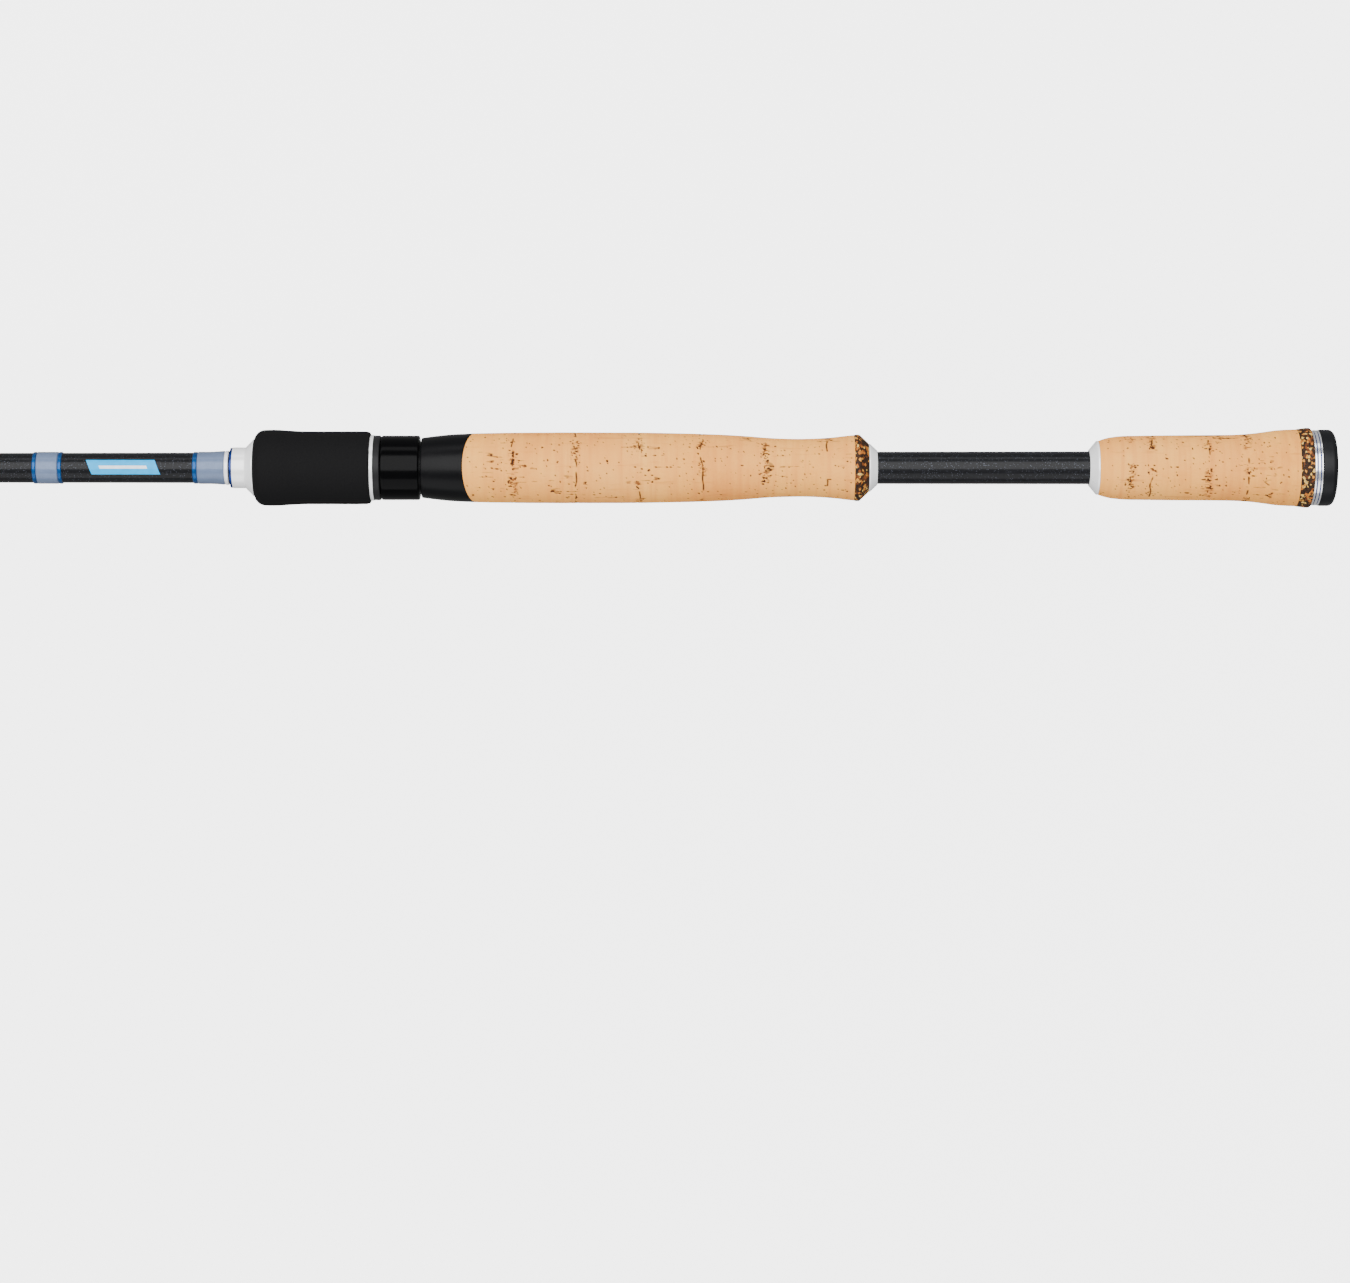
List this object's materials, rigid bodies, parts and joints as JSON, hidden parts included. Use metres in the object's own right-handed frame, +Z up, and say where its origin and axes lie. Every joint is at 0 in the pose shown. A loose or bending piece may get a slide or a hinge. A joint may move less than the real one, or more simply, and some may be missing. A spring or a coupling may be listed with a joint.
{
  "type": "spinning rod",
  "caption": "Two-piece spinning fishing rod with cork grips, reel seat with locking foam foregrip, spigot ferrule and line guides.",
  "frame": {"origin": "centre of the butt cap's rear face", "axes": "+X out of the butt along the rod's axis, tip towards -X; +Z up on the spine side, guides and reel seat towards -Z; +Y to the right when looking towards the tip with +Z up"},
  "size_m": [2.1345, 0.0276, 0.0691],
  "materials": {
    "rubber_black": "satin moulded rubber",
    "aluminium_bright": "turned and polished",
    "burl_cork": "fine sanded composite cork",
    "cork": "fine sanded natural cork",
    "carbon_butt": "clear coated carbon fibre",
    "carbon_tip": "clear coated carbon fibre",
    "seat_plastic": "satin",
    "hood_plastic": "gloss",
    "arbor_foam": "rigid foam",
    "nut_plastic": "satin",
    "foam_black": "matt closed-cell foam",
    "blue_anodised": "anodised",
    "thread_grey": "thread under clear epoxy",
    "thread_blue": "metallic thread under clear epoxy",
    "badge_film": "film under clear coat",
    "guide_steel": "polished stainless steel",
    "ceramic_dark": "polished ceramic"
  },
  "bodies": {
    "butt_section": {"butt_cap": "rubber_black", "butt_trim_ring": "aluminium_bright", "butt_burl_ring": "burl_cork", "rear_grip_cork": "cork", "rear_check": "aluminium_bright", "butt_blank": "carbon_butt", "spigot": "carbon_tip", "mid_check": "aluminium_bright", "main_burl_ring": "burl_cork", "main_grip_cork": "cork", "reel_seat_body": "seat_plastic", "seat_arbors": "arbor_foam", "seat_wrap": "thread_grey", "seat_wrap_trim": "thread_blue", "blank_badge": "badge_film", "deco_wrap": "thread_grey", "deco_trims": "thread_blue", "butt_ferrule_wrap": "thread_grey", "butt_ferrule_trims": "thread_blue"},
    "hood": {"sliding_hood": "hood_plastic"},
    "locking_foregrip": {"lock_nut": "nut_plastic", "nut_trim_ring": "aluminium_bright", "foregrip_foam": "foam_black", "front_check": "aluminium_bright", "accent_ring": "blue_anodised"},
    "tip_section": {"tip_blank": "carbon_tip", "tip_ferrule_wrap": "thread_grey", "tip_ferrule_trims": "thread_blue", "stripper_trims": "thread_blue", "tip_top_frame": "guide_steel", "tip_top_ring": "ceramic_dark", "tip_top_wrap": "thread_grey", "guide_frame_1": "guide_steel", "guide_frame_2": "guide_steel", "guide_frame_3": "guide_steel", "guide_frame_4": "guide_steel", "guide_frame_5": "guide_steel", "guide_frame_6": "guide_steel", "guide_ring_1": "ceramic_dark", "guide_ring_2": "ceramic_dark", "guide_ring_3": "ceramic_dark", "guide_ring_4": "ceramic_dark", "guide_ring_5": "ceramic_dark", "guide_ring_6": "ceramic_dark", "guide_wrap_1": "thread_grey", "guide_wrap_2": "thread_grey", "guide_wrap_3": "thread_grey", "guide_wrap_4": "thread_grey", "guide_wrap_5": "thread_grey", "guide_wrap_6": "thread_grey"}
  },
  "joints": [
    {"name": "hood_slide", "type": "slide", "parent": "butt_section", "child": "hood", "axis": [-1, 0, 0], "range_m": [0, 0.018]},
    {"name": "nut_turn", "type": "hinge", "parent": "hood", "child": "locking_foregrip", "pos_m": [-0.33, 0, 0], "axis": [-1, 0, 0], "range_deg": [0, 2590]},
    {"name": "ferrule_pull", "type": "slide", "parent": "butt_section", "child": "tip_section", "axis": [-1, 0, 0], "range_m": [0, 0.06]}
  ],
  "couplings": [
    {"joint": "hood_slide", "follows": "nut_turn", "m_per_rad": 0.00039789}
  ]
}
